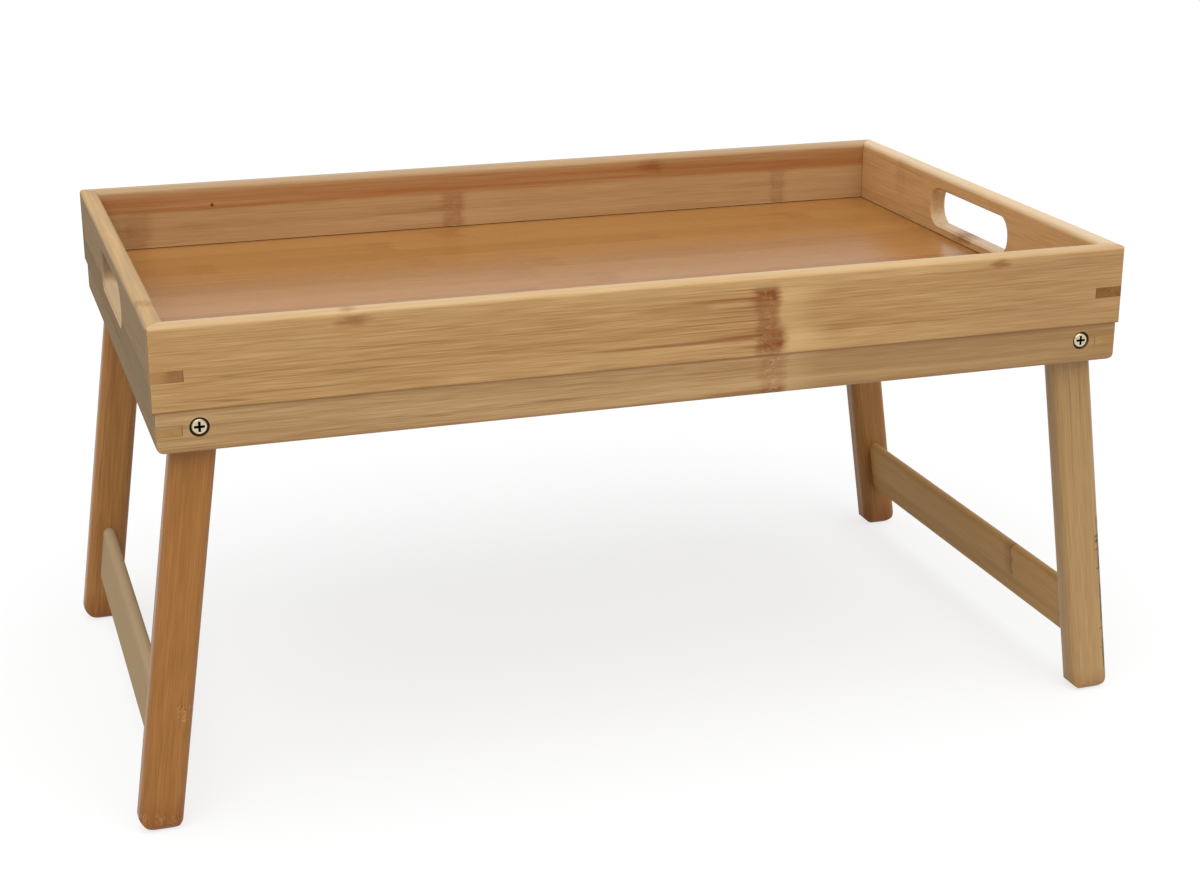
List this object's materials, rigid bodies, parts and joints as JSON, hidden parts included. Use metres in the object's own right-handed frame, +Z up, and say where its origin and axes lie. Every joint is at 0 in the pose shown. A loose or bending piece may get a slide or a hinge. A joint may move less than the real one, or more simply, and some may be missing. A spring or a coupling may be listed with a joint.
{
  "type": "folding bed tray",
  "caption": "Shallow rectangular bamboo tray with handle slots and mitred rim, standing on splayed leg frames that fold flat under it.",
  "frame": {"origin": "on the floor, below the middle of the tray, legs open", "axes": "+X along the tray's length, -Y towards the front, +Z up"},
  "size_m": [0.4674, 0.268, 0.225],
  "materials": {
    "bamboo_board": "satin lacquered bamboo, grain along the board",
    "bamboo_panel": "satin lacquered bamboo panel",
    "bamboo_rail": "satin lacquered bamboo, grain along the rail",
    "bamboo_leg": "satin lacquered bamboo, grain along the leg",
    "bamboo_slat": "satin lacquered bamboo, grain along the slat",
    "bamboo_end_grain": "bamboo end grain, darker than the boards",
    "bamboo_base_key": "bamboo key, close to the rail's colour",
    "nickel_bolt": "nickel plated",
    "steel_washer": "zinc plated",
    "brass_insert": "turned"
  },
  "bodies": {
    "tray": {"base_back_rail": "bamboo_rail", "base_front_rail": "bamboo_rail", "base_key_back_left": "bamboo_base_key", "base_key_back_right": "bamboo_base_key", "base_key_front_left": "bamboo_base_key", "base_key_front_right": "bamboo_base_key", "base_left_rail": "bamboo_rail", "base_right_rail": "bamboo_rail", "tray_back_board": "bamboo_board", "tray_floor_panel": "bamboo_panel", "tray_front_board": "bamboo_board", "tray_key_back_left": "bamboo_end_grain", "tray_key_back_right": "bamboo_end_grain", "tray_key_front_left": "bamboo_end_grain", "tray_key_front_right": "bamboo_end_grain", "tray_left_end": "bamboo_board", "tray_right_end": "bamboo_board"},
    "left_leg_frame": {"leg_back_left": "bamboo_leg", "leg_front_left": "bamboo_leg", "pivot_bolt_back_left": "nickel_bolt", "pivot_bolt_front_left": "nickel_bolt", "pivot_washer_back_left": "steel_washer", "pivot_washer_front_left": "steel_washer", "stretcher_left": "bamboo_slat", "threaded_insert_back_left": "brass_insert", "threaded_insert_front_left": "brass_insert"},
    "right_leg_frame": {"leg_back_right": "bamboo_leg", "leg_front_right": "bamboo_leg", "pivot_bolt_back_right": "nickel_bolt", "pivot_bolt_front_right": "nickel_bolt", "pivot_washer_back_right": "steel_washer", "pivot_washer_front_right": "steel_washer", "stretcher_right": "bamboo_slat", "threaded_insert_back_right": "brass_insert", "threaded_insert_front_right": "brass_insert"}
  },
  "joints": [
    {"name": "left_fold", "type": "hinge", "parent": "tray", "child": "left_leg_frame", "pos_m": [-0.19915, 0, 0.1818], "axis": [0, -1, 0], "range_deg": [0, 98.1]},
    {"name": "right_fold", "type": "hinge", "parent": "tray", "child": "right_leg_frame", "pos_m": [0.19915, 0, 0.1818], "axis": [0, 1, 0], "range_deg": [0, 98.1]}
  ]
}
